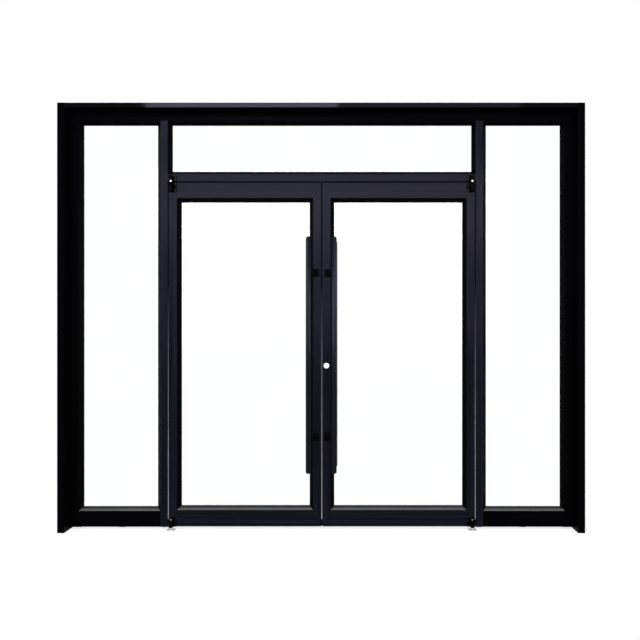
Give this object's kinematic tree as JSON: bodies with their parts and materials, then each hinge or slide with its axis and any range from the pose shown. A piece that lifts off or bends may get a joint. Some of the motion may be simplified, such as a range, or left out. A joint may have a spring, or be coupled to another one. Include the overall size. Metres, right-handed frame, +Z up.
{
  "type": "pivot-hung entrance door set with side lights",
  "caption": "Black aluminium pivot-hung entrance door set: glazed leaves, side lights and a transom light in a deep portal casing, with long pull bars and a cylinder lock.",
  "frame": {"origin": "on the floor, midway across the overall width and the casing's depth", "axes": "+X across the width to the viewer's right, -Y towards the front where the pull bars and pivots are, +Z up"},
  "size_m": [3.166, 0.2, 2.581],
  "materials": {
    "coated_aluminium": "black satin powder coat on extruded aluminium",
    "casing_aluminium": "black satin powder coat on the portal casing",
    "bead_aluminium": "black satin powder coat on clip-in beads",
    "clear_glass": "clear toughened float glass",
    "black_rubber": "matt black rubber channel",
    "black_casting": "black enamelled steel casting",
    "bright_steel": "bright turned steel",
    "black_screws": "blackened steel",
    "satin_chrome": "satin chrome plate",
    "handle_coating": "dark satin coating on aluminium bar",
    "packer_plastic": "black moulded plastic"
  },
  "bodies": {
    "frame": {"left_casing_jamb": "casing_aluminium", "right_casing_jamb": "casing_aluminium", "casing_head": "casing_aluminium", "left_frame_jamb": "coated_aluminium", "right_frame_jamb": "coated_aluminium", "frame_head": "coated_aluminium", "left_mullion": "coated_aluminium", "right_mullion": "coated_aluminium", "transom_bar": "coated_aluminium", "left_sill": "coated_aluminium", "right_sill": "coated_aluminium", "left_side_light_glass": "clear_glass", "right_side_light_glass": "clear_glass", "transom_light_glass": "clear_glass", "fixed_light_gaskets": "black_rubber", "fixed_light_beads": "bead_aluminium", "top_pivot_brackets": "black_casting", "top_pivot_pins": "bright_steel", "floor_pivots": "bright_steel", "levelling_packers": "packer_plastic", "bracket_screws": "black_screws"},
    "left_leaf": {"left_hinge_stile": "coated_aluminium", "left_meeting_stile": "coated_aluminium", "left_top_rail": "coated_aluminium", "left_bottom_rail": "coated_aluminium", "left_leaf_glass": "clear_glass", "left_leaf_gasket": "black_rubber", "left_leaf_beads": "bead_aluminium", "left_top_pivot_arm": "black_casting", "left_bottom_pivot_arm": "black_casting", "left_pivot_screws": "black_screws", "left_pull_bar": "handle_coating", "left_back_pull_bar": "handle_coating", "left_pull_brackets": "black_casting", "left_pull_bolts": "black_screws", "left_edge_seals": "black_rubber", "strike_plate": "bright_steel"},
    "right_leaf": {"right_hinge_stile": "coated_aluminium", "right_meeting_stile": "coated_aluminium", "right_top_rail": "coated_aluminium", "right_bottom_rail": "coated_aluminium", "right_leaf_glass": "clear_glass", "right_leaf_gasket": "black_rubber", "right_leaf_beads": "bead_aluminium", "right_top_pivot_arm": "black_casting", "right_bottom_pivot_arm": "black_casting", "right_pivot_screws": "black_screws", "right_pull_bar": "handle_coating", "right_back_pull_bar": "handle_coating", "right_pull_brackets": "black_casting", "right_pull_bolts": "black_screws", "right_edge_seals": "black_rubber", "lock_ring": "satin_chrome", "thumb_turn_ring": "satin_chrome", "lock_case": "bright_steel", "lock_cylinder": "satin_chrome", "lock_forend": "bright_steel"},
    "lock_core": {"lock_plug": "satin_chrome", "thumb_turn": "satin_chrome"},
    "lock_bolt": {"lock_bolt": "bright_steel"}
  },
  "joints": [
    {"name": "left_leaf_swing", "type": "hinge", "parent": "frame", "child": "left_leaf", "pos_m": [-0.917, -0.049, 0.016], "axis": [0, 0, -1], "range_deg": [0, 105], "stiffness_Nm_per_rad": 15, "springref_deg": -28.65},
    {"name": "right_leaf_swing", "type": "hinge", "parent": "frame", "child": "right_leaf", "pos_m": [0.917, -0.049, 0.016], "axis": [0, 0, 1], "range_deg": [0, 105], "stiffness_Nm_per_rad": 15, "springref_deg": -28.65},
    {"name": "lock_turn", "type": "hinge", "parent": "right_leaf", "child": "lock_core", "pos_m": [0.0285, -0.038, 1], "axis": [0, 1, 0], "range_deg": [0, 90]},
    {"name": "bolt_throw", "type": "slide", "parent": "right_leaf", "child": "lock_bolt", "axis": [-1, 0, 0], "range_m": [0, 0.022]}
  ],
  "couplings": [
    {"joint": "lock_turn", "follows": "bolt_throw", "rad_per_m": 71.39}
  ]
}
